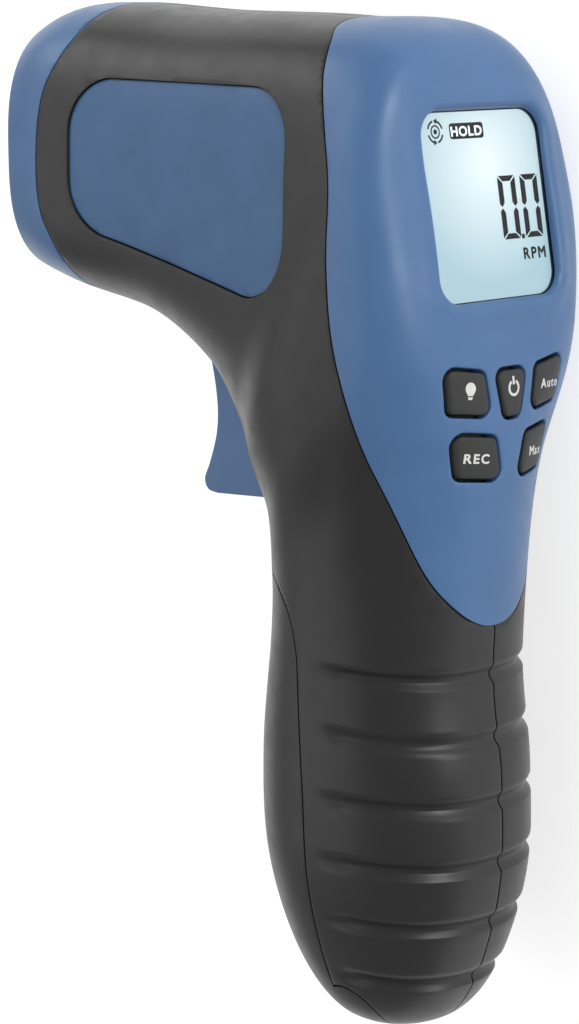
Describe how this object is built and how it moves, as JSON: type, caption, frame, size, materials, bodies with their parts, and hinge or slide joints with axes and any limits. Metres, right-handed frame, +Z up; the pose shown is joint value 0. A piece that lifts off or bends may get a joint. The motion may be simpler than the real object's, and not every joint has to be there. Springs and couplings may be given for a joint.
{
  "type": "laser tachometer",
  "caption": "Pistol-grip optical tachometer with a lit display, keypad, sprung trigger, lens in the nose and a hinged battery door in the grooved grip.",
  "frame": {"origin": "middle of the outline, on the surface that the instrument lies on with its right side", "axes": "+X from the nose to the display, +Y from the grip's foot to the head, +Z up, out of its left side"},
  "size_m": [0.0943, 0.1618, 0.0492],
  "materials": {
    "housing_black": "fine satin mould texture",
    "accent_blue": "satin moulded",
    "panel_blue": "satin inlay",
    "key_black": "soft satin",
    "window": "clear polished",
    "lcd": "pale, lit from behind",
    "white_plastic": "satin",
    "board_green": "solder mask",
    "chip_black": "moulded",
    "mat_grey": "silicone",
    "steel": "bright zinc",
    "brass": "turned",
    "battery_case": "plain jacket",
    "lead_red": "insulation",
    "lead_black": "insulation",
    "ribbon": "flat cable"
  },
  "bodies": {
    "body": {"left_housing": "housing_black", "right_housing": "housing_black", "rear_bezel": "accent_blue", "nose_cap": "accent_blue", "left_side_panel": "panel_blue", "right_side_panel": "panel_blue", "door_hinge_pin": "steel", "trigger_pin": "steel", "trigger_spring": "steel", "trigger_switch": "chip_black", "switch_board": "board_green", "display_window": "window", "lcd_panel": "lcd", "backlight_panel": "white_plastic", "display_frame": "white_plastic", "main_board": "board_green", "controller_chip": "chip_black", "board_capacitors": "chip_black", "keypad_mat": "mat_grey", "lens_holder": "chip_black", "focus_lens": "window", "laser_module": "brass", "sensor_board": "board_green", "photo_sensor": "chip_black", "battery": "battery_case", "battery_snap": "chip_black", "battery_lead_red": "lead_red", "battery_lead_black": "lead_black", "sensor_ribbon": "ribbon", "switch_ribbon": "ribbon", "housing_screws": "steel", "board_screws": "steel"},
    "trigger_lever": {"trigger": "accent_blue"},
    "door": {"battery_door": "housing_black"},
    "lamp_button": {"key_lamp": "key_black"},
    "power_button": {"key_power": "key_black"},
    "auto_button": {"key_auto": "key_black"},
    "record_button": {"key_record": "key_black"},
    "maximum_button": {"key_maximum": "key_black"}
  },
  "joints": [
    {"name": "trigger_pull", "type": "hinge", "parent": "body", "child": "trigger_lever", "pos_m": [-0.00225, 0.0269, 0.0246], "axis": [0, 0, 1], "range_deg": [0, 7], "stiffness_Nm_per_rad": 0.4, "springref_deg": -2.86, "deforming": ["trigger_spring"]},
    {"name": "door_swing", "type": "hinge", "parent": "body", "child": "door", "pos_m": [0.02535, -0.0769, 0.0246], "axis": [0, 0, 1], "range_deg": [0, 75]},
    {"name": "lamp_press", "type": "slide", "parent": "body", "child": "lamp_button", "axis": [-0.9844, -0.1761, 0], "range_m": [0, 0.0008], "stiffness_N_per_m": 800, "springref_m": -0.0005},
    {"name": "power_press", "type": "slide", "parent": "body", "child": "power_button", "axis": [-0.9844, -0.1761, 0], "range_m": [0, 0.0008], "stiffness_N_per_m": 800, "springref_m": -0.0005},
    {"name": "auto_press", "type": "slide", "parent": "body", "child": "auto_button", "axis": [-0.9844, -0.1761, 0], "range_m": [0, 0.0008], "stiffness_N_per_m": 800, "springref_m": -0.0005},
    {"name": "record_press", "type": "slide", "parent": "body", "child": "record_button", "axis": [-0.9844, -0.1761, 0], "range_m": [0, 0.0008], "stiffness_N_per_m": 800, "springref_m": -0.0005},
    {"name": "maximum_press", "type": "slide", "parent": "body", "child": "maximum_button", "axis": [-0.9844, -0.1761, 0], "range_m": [0, 0.0008], "stiffness_N_per_m": 800, "springref_m": -0.0005}
  ]
}
